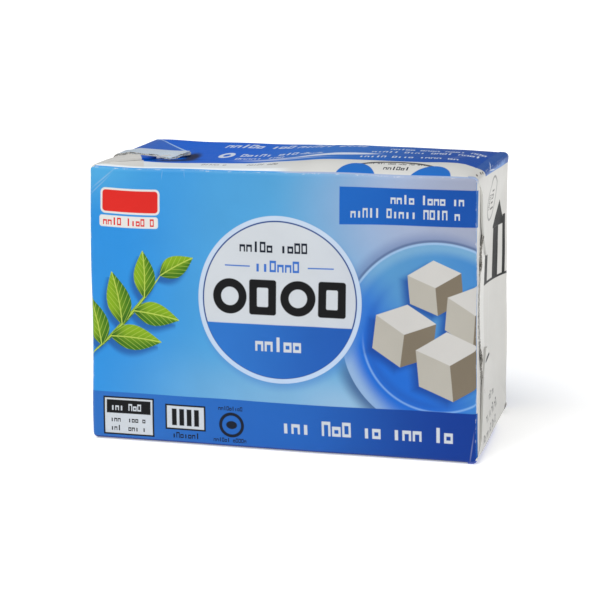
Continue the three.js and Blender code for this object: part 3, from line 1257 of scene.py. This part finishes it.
# %% Front: small fields
front.lay(BLACK, front.box(10.6, 6.65, 7.15, 5.3))
front.lay(WHITE, front.box(10.6, 6.65, 6.7, 4.85))
front.lay(BLACK, front.box(10.6, 9.2, 6.2, 1.85))
front.strokes(WHITE, 5.5, 9.1, 10.4, 1.0, 5.0, 2.0)
for y, length in ((5.7, 9.6), (3.3, 10.4)):
    front.strokes(BLACK, 5.4, y, length, 0.8, 4.1, y)
front.lay(BLACK, front.box(26.3, 7.35, 5.45, 3.5))
front.lay(WHITE, front.box(26.3, 7.35, 5.0, 3.05))
for step in range(4):
    front.lay(BLACK, front.box(23.3 + 2.0 * step, 7.35, 0.65, 2.3))
front.strokes(NAVY, 22.6, 2.4, 7.4, 0.85, 9.3, 0.5)
front.lay(NAVY, front.ring(38.8, 6.2, 3.0, 0.42))
front.lay(NAVY, front.oval(38.8, 6.2, 1.5, 1.1).mask)
front.strokes(NAVY, 35.2, 10.7, 7.0, 0.6, 9.0)
front.strokes(NAVY, 33.8, 2.0, 9.2, 0.6, 5.2)
front.lay(WARM_WHITE, front.box(11.6, 64.2, 8.3, 3.3, corner=1.3))
front.lay(RED, front.box(11.6, 64.2, 7.8, 2.8, corner=0.9))
front.lay(WARM_WHITE, front.box(11.2, 58.9, 8.2, 1.5, corner=0.7))
front.strokes(RED, 3.9, 58.9, 14.6, 1.05, 6.4)
front.report("small fields")

# %% [markdown]
# Fine creases run in from the corners, where the folds pull at the panel.

# %% Front: creases and finish
front.crease(4.0, 69.8, 3.4, 40.0, 0.16)
front.crease(2.6, 67.6, 3.4, 44.0, 0.12)
front.crease(20.5, 71.4, 0.9, 84.0, 0.07)
front.crease(26.6, 71.6, 0.7, 95.0, 0.06)
front.crease(101.6, 3.6, 3.4, 82.0, 0.14)
front_print = front.finish(front.from_folds((0, -5), (W, H)), 0.5)

# %% [markdown]
# The top is a deeper blue with rows of pale strokes.

# %% Top: ground and rows
COOL_WHITE = ink(220, 226, 230)
DULL_WHITE = ink(203, 203, 200)
PALE_INK = ink(214, 222, 232)
top = Print("top_print", ink(0, 92, 202))
top.lay(ink(32, 108, 196), ramp(top.u, 30.0, 58.0))
top.lay(ink(0, 70, 160), ramp(top.u, 56.0, 98.0))
for x, y, length, half, seed, turn, pitch in (
    (24.4, 40.8, 20.5, 3.0, 0.0, -1.0, 0.75),
    (46.0, 40.2, 20.0, 2.8, 3.0, -9.0, 0.75),
    (33.6, 25.6, 16.6, 2.2, 4.0, 3.0, 0.8),
    (50.6, 26.2, 8.5, 1.6, 4.0, -28.0, 1.0),
    (34.0, 19.2, 14.0, 1.5, 5.0, 3.0, 1.0),
    (74.0, 30.8, 25.0, 1.5, 1.0, 0.0, 0.9),
    (70.3, 24.2, 29.3, 1.6, 3.0, 3.2, 0.9),
    (69.4, 13.6, 25.8, 1.6, 2.0, 6.0, 0.9),
):
    row = (x, H + y, length, half, 5.2 * half * pitch, seed)
    top.strokes(PALE_INK, *row, turn=turn, pitch=pitch, strength=0.9)
hook = ramp(top.oval(29.8, H + 25.0, 0.8, 1.8).ring, 0.0, 0.2)
top.lay(PALE_INK, top.oval(29.8, H + 25.0, 2.0, 4.4).mask * hook, 0.9)
top.report("rows")

# %% [markdown]
# A strip along the front fold stays white, and runs on to a white field at the left end. Pale wisps
# over its edge are painted highlights, glare on the swell, and a painted shadow lies beside and
# under the left ear's point.

# %% Top: white strip
STRIP, STRIP_DIP = 10.9, 2.4  # depth of the white strip, and how much less it is under the swell
dip = ramp(top.u, 45.0, 57.0) * ramp(top.u, 99.0, 87.0)
white = lay(COOL_WHITE, DULL_WHITE, ramp(top.u, 40.0, 58.0))
top.lay(white, ramp(dip * STRIP_DIP + top.v, H + STRIP + 0.2, H + STRIP - 0.1))
for x, y, length, turn in ((28.6, 8.2, 7.0, 0.0), (41.0, 8.0, 9.0, -6.0)):
    row = (x, H + y, length, 1.1, 5.6, x)
    top.strokes(ink(72, 62, 72), *row, turn=turn, pitch=0.9, strength=0.85)
SLANT = 0.42
from_corner = (top.v - H) * SLANT + top.u
top.lay(WARM_WHITE, ramp(from_corner, 15.8, 15.3) * ramp(top.v, H + 22.4, H + 21.8))
# the three pale ovals are painted highlights, the two dark ones a painted shadow of the ear's point
for colour, x, y, half_x, half_y, turn, soft, strength in (
    (ink(214, 222, 236), 62.5, 17.8, 10.5, 2.4, 7.0, 0.6, 0.95),
    (ink(214, 222, 236), 50.5, 15.9, 11.0, 0.9, 2.0, 0.6, 0.75),
    (ink(214, 222, 236), 49.0, 13.6, 10.0, 0.7, -7.0, 0.6, 0.7),
    (ink(2, 10, 42), 21.1, 21.8, 2.0, 6.4, 11.0, 1.0, 0.95),
    (ink(2, 10, 42), 18.2, 15.0, 6.0, 1.9, 16.0, 1.2, 0.85),
):
    top.lay(colour, top.oval(x, H + y, half_x, half_y, turn=turn, soft=soft).mask, strength)
top.report("strip")

# %% [markdown]
# The front fold cuts a round figure with two domes. A painted highlight lies along the fold, and
# the front's ink runs a little over it.

# %% Top: figure, fold and finish
FIGURE = (81.4, H - 4.0)
top.lay(NAVY, top.oval(*FIGURE, 15.3, 12.0).mask, 0.85)
top.lay(DULL_WHITE, top.oval(*FIGURE, 14.5, 10.9).mask)
for side in (-1, 1):
    dome = top.oval(FIGURE[0] + side * 9.2, FIGURE[1] + 0.4, 5.6, 9.2, turn=side * -10.0)
    top.lay(ink(36, 104, 186), dome.mask)
top.strokes(NAVY, 73.6, H + 6.0, 15.4, 0.55, 2.6)
top.strokes(NAVY, 78.4, H + 3.5, 6.2, 0.9, 7.0)
# a painted highlight along the front fold
painted_fold_highlight = ramp(top.v, H + 3.2, H + 2.0) * ramp(top.u, 56.0, 48.0)
top.lay(ink(236, 243, 248), painted_fold_highlight, 0.8)
over_fold = ramp(top.v, H + 0.75, H + 0.55)
top.lay(ink(70, 150, 212), over_fold * ramp(top.u, 60.0, 50.0))
top.lay(LAVENDER, over_fold * ramp(top.u, 50.0, 60.0))
top.crease(96.0, H + 24.0, 7.0, 62.0, 0.3)
top_print = top.finish(top.from_folds((0, H - 5), (W, H + D)), 0.45, specular=0.05)

# %% [markdown]
# The ends are bare white board with a few dark marks, partly under the ears. At the right end the
# front's ink runs a little over the fold, and a painted highlight lines the fold in pale blue.

# %% Right end
end = Print("end_print", END_WHITE)
GABLE_SLOPE, GABLE_TOP = 1.5, (W + 41.2, 59.2)
for x, y, half_x, half_y in ((28.3, 44.4, 1.7, 4.1), (37.6, 47.1, 2.3, 6.9), (44.4, 48.2, 1.0, 8.2)):
    end.lay(SOOT, end.box(W + x, y, half_x, half_y))
over_gable = (end.u - GABLE_TOP[0]) * GABLE_SLOPE + (end.v - GABLE_TOP[1])
gable = ramp(end.v, 53.8, 54.1) * end.box(W + 39.2, 58.0, 4.6, 8.0)
end.lay(SOOT, gable * ramp(over_gable, 0.2, -0.2))
end.lay(SOOT, end.box(W + 34.4, 40.1, 12.6, 0.34, turn=-1.4))
end.lay(SOOT, end.box(W + 22.6, 38.9, 0.45, 1.9))
# a painted highlight, pale blue, along the front fold
end.lay(ink(96, 140, 196), ramp(end.u, W + 0.35, W + 0.15))
over_fold = ramp(end.u, W + 1.5, W + 1.1)
end.lay(ink(60, 110, 176), over_fold * ramp(end.v, 60.2, 60.5) * ramp(end.v, 69.8, 69.5))
end.lay(ink(30, 84, 160), over_fold * ramp(end.v, 13.3, 13.1))
end.crease(W + 31.0, 30.0, 9.0, 80.0, 0.3)
end_print = end.finish(end.from_folds((W, 0), (W + D, H)), 0.3, specular=0.04)

# %% [markdown]
# The left end has a few rows of bars, and the front's sky and band run a little over its fold.

# %% Left end
left_end = Print("left_end_print", END_WHITE)
for row in range(4):
    bars = left_end.words(-42.0, 46.0 - 3.2 * row, 11.0 - row, 0.5, 3.0, 2.0 * row)
    left_end.lay(GREY_INK, bars)
over_fold = ramp(left_end.u, -1.0, -0.8)
left_end.lay(ink(40, 134, 208), over_fold * ramp(left_end.v, 13.1, 13.3))
left_end.lay(ink(40, 104, 188), over_fold * ramp(left_end.v, 13.3, 13.1))
left_end_print = left_end.finish(left_end.from_folds((-D, 0), (0, H)), 0.3)

# %% [markdown]
# The back is not the show side. It keeps the front's blue, with a white table and rows of bars for
# the small type that every pack carries, and a white field of upright bars.

# %% Back
back = Print("back_print", ink(40, 124, 204))
back.lay(ink(84, 156, 212), ramp(back.u, 10.0, 90.0))
back.lay(ink(28, 88, 172), ramp(back.v, BACK_TOP + H - 12.2, BACK_TOP + H - 12.0))
back.lay(WHITE, back.box(26.0, BACK_TOP + 30.0, 20.0, 23.0, corner=2.0))
back.lay(BLACK, back.words(43.5, BACK_TOP + 11.5, 26.0, 1.3, 7.0, turn=180.0))
for row in range(11):
    y = BACK_TOP + 16.5 + 3.1 * row
    back.lay(NAVY, back.box(26.0, y - 1.55, 17.5, 0.1))
    length = 15.0 + 3.0 * math.sin(2.1 * row)
    back.lay(NAVY, back.words(43.5, y, length, 0.55, 3.6, 1.7 * row, turn=180.0))
    back.lay(NAVY, back.box(10.6, y, 1.6, 0.55, corner=0.2))
for row in range(9):
    y, length = BACK_TOP + 10.0 + 3.4 * row, 44.0 - 7.0 * (row % 3)
    back.lay(WHITE, back.words(97.0, y, length, 0.7, 4.8, 1.3 * row, turn=180.0))
back.lay(WHITE, back.box(86.0, BACK_TOP + 51.0, 11.5, 7.0, corner=0.6))
bars = number("SINE", back.u * 7.5 + number("SINE", back.u * 2.3))
back.lay(BLACK, ramp(bars, 0.0, 0.25) * back.box(86.0, BACK_TOP + 50.4, 10.0, 5.2))
back_print = back.finish(back.from_folds((0, BACK_TOP), (W, BACK_TOP + H)), 0.45)

# %% [markdown]
# The base is bare board, but for the band's blue along the front and some grey rows.

# %% Base
base = Print("base_print", ink(30, 92, 178))
base.lay(ink(4, 44, 112), ramp(base.v, -2.4, -1.2))
base.lay(WARM_WHITE, ramp(base.v, -13.0, -13.3))
for row in range(5):
    length = 52.0 - 9.0 * (row % 2)
    base.lay(GREY_INK, base.words(30.0, -18.0 - 3.4 * row, length, 0.7, 5.0, 1.9 * row))
base_print = base.finish(base.from_folds((0, -D), (W, 5)), 0.5)

# %% [markdown]
# The flaps show their own parts of the blank. Each ear is a corner folded flat, so its slanted sides
# are folds too. The left ear is white, with blue behind its middle and blue at its front by the point.
# A painted shadow darkens that blue under the fin's edge, and a pale line along the back slanted
# fold is part rubbed wear, part painted highlight.

# %% Left ear
def from_ear_sides(run, across, reach):
    """Distance to the nearer slanted side of an ear."""
    half = D / 2 + EAR_TIP / MM / 2 - run * (D / 2 / reach)
    return half - abs(across - D / 2)


FIN_EDGE = D / 2 - FIN_WIDTH / MM
ear_left = Print("ear_left_print", WARM_WHITE)
run, across = ear_left.v - H, -ear_left.u
back_half = ramp(across, D / 2 + 0.3, D / 2 + 0.7) * ramp(run, 0.2, 0.6)
ear_left.lay(ink(20, 92, 190), back_half)
past_fin = ramp(run, 9.0, 19.0) * 2.2 + across
front_blue = ramp(past_fin, FIN_EDGE - 0.2, FIN_EDGE - 0.6) * ramp(across * 0.5 + run, 15.8, 16.2)
ear_left.lay(ink(0, 84, 192), front_blue)
# painted shadow: the blue darkens under the fin's edge
painted_shadow_under_fin = front_blue * ramp(past_fin, FIN_EDGE - 3.4, FIN_EDGE - 0.8)
ear_left.lay(ink(2, 16, 60), painted_shadow_under_fin * ramp(run, 8.0, 14.0), 0.85)
ear_left.lay(ink(40, 134, 208), ramp(across, 1.9, 1.5) * ramp(run, -0.5, -0.8))
side = from_ear_sides(run, across, LEFT_REACH / MM)
# a pale line along the back slanted fold: part rubbed wear, part painted highlight
ear_left.lay(ink(164, 196, 232), back_half * ramp(side, 1.7, 1.1), 0.9)
ear_left_print = ear_left.finish(abs(run), 0.4)

# %% [markdown]
# The right ear is white board too. The top's blue runs over its fold, rubbed and scratched, and a
# worn oval mark carries a dark figure of plain strokes.

# %% Right ear
DARK_GREY = ink(44, 44, 44)
ear_right = Print("ear_right_print", END_WHITE)
run, across = ear_right.u - W, ear_right.v - H
blue = ramp(run - (across * 0.03 + 1.0), 0.1, -0.1) * ramp(across, STRIP, STRIP + 0.4)
ear_right.lay(ink(38, 84, 158), blue)
rubbed = ramp(uneven(ear_right.place, 0.7, 4.0) * 4.0 + run, 2.8, 3.6)
ear_right.lay(ink(96, 142, 206), blue * rubbed * ramp(across, 44.0, 38.0), 0.85)
ear_right.lay(LAVENDER, ramp(across, 1.2, 0.8))
for colour, x, y, half_x, half_y, turn in (  # scratches, then specks of dirt
    (ink(206, 214, 224), -0.25, 20.9, 2.8, 0.16, -70.0),
    (ink(206, 214, 224), 1.05, 21.3, 3.2, 0.16, 84.0),
    (ink(52, 42, 34), -0.8, 3.3, 0.3, 0.9, 20.0),
    (ink(52, 42, 34), -0.5, 7.3, 0.3, 0.9, 20.0),
    (ink(52, 42, 34), -0.2, 9.2, 0.3, 0.9, 20.0),
):
    ear_right.lay(colour, ear_right.oval(W + x, H + y, half_x, half_y, turn=turn).mask, 0.9)
ear_right.lay(ink(128, 128, 126), ear_right.oval(W + 9.0, H + 25.2, 6.0, 5.5).mask, 0.9)
ear_right.lay(END_WHITE, ear_right.oval(W + 9.0, H + 25.2, 5.4, 4.7).mask)
for x, y, length, half, seed, strength in (
    (6.2, 26.4, 6.6, 2.0, 2.0, 0.9),
    (7.6, 22.6, 4.6, 1.3, 5.0, 0.8),
):
    row = (W + x, H + y, length, half, 9.0, seed)
    ear_right.strokes(DARK_GREY, *row, pitch=0.8, strength=strength)
side = from_ear_sides(run, across, RIGHT_REACH / MM)
# painted shade: the ear is greyer along its slanted folds
ear_right.lay(ink(190, 190, 188), ramp(side, 0.8, 0.3), 0.6)
ear_right_print = ear_right.finish(abs(run), 0.3, specular=0.06)

# %% [markdown]
# The ear that comes up from the base has three rows of grey strokes that run upwards, and a few
# black marks.

# %% Low ear
ear_low = Print("ear_low_print", END_WHITE)
for x, y, length, half in ((3.4, 9.0, 19.0, 1.2), (7.2, 15.0, 18.0, 1.2), (11.0, 22.0, 9.0, 1.0)):
    ear_low.strokes(ink(78, 78, 78), W + x, -y, length, half, 4.2, x, turn=-90.0, strength=0.9)
ear_low.lay(SOOT, ear_low.oval(W + 21.2, -24.6, 3.4, 0.5, turn=-80.0).mask)
ear_low.lay(SOOT, ear_low.oval(W + 1.0, -44.3, 1.5, 1.6, soft=0.6).mask, 0.85)
base_line = ramp(ear_low.u, W + 0.75, W + 0.4) * ramp(ear_low.v, -36.0, -26.0)
ear_low.lay(ink(34, 66, 160), base_line, 0.9)
ear_low_print = ear_low.finish(wear=0.3, specular=0.06)

# %% [markdown]
# The fins are bare board, grained where the seal was pressed. The cut edges of board are raw and
# grey-brown, and are drawn darker still as painted shade of the gap between a fin and its panel.

# %% Fins and cut edges
seal = Print("seal_board", ink(208, 208, 204))
pressed = uneven(seal.place, 2.4, 6.0, 0.8)
seal.lay(ink(116, 116, 116), ramp(pressed, 0.5, 0.64), 0.8)
seal.lay(WARM_WHITE, 1.0 - ramp(abs(seal.u), 23.5, 20.5), 0.8)
seal.lay(ink(176, 198, 222), ramp(seal.v, H - 0.5, H + 1.5), 0.6)
seal_board = seal.finish(wear=0.2)

raw_edge_and_shade = Print("cut_board", ink(204, 202, 196))
fuzz = uneven(raw_edge_and_shade.place, 3.0, 6.0, 0.8)
# dark flecks: the raw edge's own colour and painted shade of the gap beside it
raw_edge_and_shade.lay(ink(66, 60, 52), ramp(fuzz, 0.42, 0.58), 0.9)
cut_board = raw_edge_and_shade.finish(wear=0.0, specular=0.2)

# %% [markdown]
# Each panel of the body gets its own material, by the way that its faces looked before the board
# was bent. On a fin the free edge is cut board with painted shade, but for the middle of its height,
# where it is pressed flat.

# %% Put the materials on
panel_materials = {
    "front": front_print,
    "top": top_print,
    "right": end_print,
    "left": left_end_print,
    "back": back_print,
    "base": base_print,
}
for material in panel_materials.values():
    body.data.materials.append(material)
for face, panel in zip(body.data.polygons, body_panels):
    face.material_index = list(panel_materials).index(panel)
ear_materials = {
    "ear_top_left": ear_left_print,
    "ear_top_right": ear_right_print,
    "ear_base_right": ear_low_print,
    "ear_base_left": base_print,
}
for name, ear in ears.items():
    ear.data.materials.append(ear_materials[name])
EDGE_NORMAL = -0.6
EDGE_LOW, EDGE_HIGH = 27 * MM, 46 * MM  # here the edge lies flat and pale
for fin in fins.values():
    fin.data.materials.append(seal_board)
    fin.data.materials.append(cut_board)
    for face in fin.data.polygons:
        cut_edge = face.normal.y < EDGE_NORMAL and not EDGE_LOW < face.center.z < EDGE_HIGH
        face.material_index = int(cut_edge)
seam.data.materials.append(back_print)
print("materials:", [material.name for material in bpy.data.materials])

# %% [markdown]
# The pack is one rigid thing: all its pieces ride on the one body.

# %% Pieces ride on the pack's one body
for piece in pieces:
    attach(piece, "root")
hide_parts("carton")
print("pieces:", [piece.name for piece in pieces])

# %% [markdown]
# The stage is a wide pale floor, which glows a little, so that it stays almost white.

# %% Floor
bpy.ops.object.select_all(action="DESELECT")
bpy.ops.mesh.primitive_plane_add(size=6, location=(0, 0, -0.2 * MM))
floor = bpy.context.object
floor.name = "floor"
pale = bpy.data.materials.new("pale_floor")
pale.use_nodes = True
for label, value in (
    ("Base Color", (0.9, 0.9, 0.9, 1)),
    ("Roughness", 0.9),
    ("Emission Color", (1, 1, 1, 1)),
    ("Emission Strength", 0.36),
):
    pale.node_tree.nodes["Principled BSDF"].inputs[label].default_value = value
floor.data.materials.append(pale)
print("floor:", [round(side, 2) for side in floor.dimensions])

# %% [markdown]
# The light is an even dim room and two soft lamps, a strong one from the left front and a weaker
# one from the right.

# %% Light
world = bpy.data.worlds.new("studio")
bpy.context.scene.world = world
world.use_nodes = True
nodes = world.node_tree.nodes
nodes["Background"].inputs["Color"].default_value = (1, 1, 1, 1)
seen = Value(nodes.new("ShaderNodeLightPath").outputs["Is Camera Ray"])
ROOM, BACKDROP = 0.25, 1.0  # the room is dim, but its far wall shows white
feed(nodes["Background"].inputs["Strength"], seen * (BACKDROP - ROOM) + ROOM)


def add_soft_light(name, towards, strength, spread):
    """A lamp far off whose light comes from a wide patch, so that shadows are soft."""
    data = bpy.data.lights.new(name, "SUN")
    data.energy = strength
    data.angle = math.radians(spread)
    lamp = bpy.data.objects.new(name, data)
    bpy.context.collection.objects.link(lamp)
    lamp.rotation_euler = Vector(towards).to_track_quat("-Z", "Y").to_euler()


add_soft_light("key", (0.35, 0.5, -0.85), 2.3, 50)
add_soft_light("fill", (-1.0, 0.25, -0.45), 1.25, 70)
print("lamps:", [light.name for light in bpy.data.lights])

# %% [markdown]
# The camera stands a little right of the front and looks slightly down. Its lens is given by the
# picture's side and the focal length, both in picture points.

# %% Camera
YAW, PITCH, ROLL = math.radians(15.30), math.radians(12.11), math.radians(-1.0)
camera_data = bpy.data.cameras.new("camera")
SENSOR = 36
FOCAL_POINTS, PICTURE_POINTS = 1597, 600
camera_data.sensor_width = SENSOR
camera_data.lens = FOCAL_POINTS / PICTURE_POINTS * SENSOR
camera_data.shift_x, camera_data.shift_y = -0.05, -0.08
camera_data.clip_start = 0.01
camera = bpy.data.objects.new("camera", camera_data)
bpy.context.collection.objects.link(camera)
turn = (
    Matrix.Rotation(YAW, 4, "Z")
    @ Matrix.Rotation(math.pi / 2 - PITCH, 4, "X")
    @ Matrix.Rotation(ROLL, 4, "Z")
)
CAMERA_PLACE = Vector((117.08, -400.30, 136.78)) * MM
camera.matrix_world = Matrix.Translation(CAMERA_PLACE) @ turn
bpy.context.scene.camera = camera
bpy.context.scene.view_settings.view_transform = "Standard"
print("lens (mm):", round(camera_data.lens, 2))
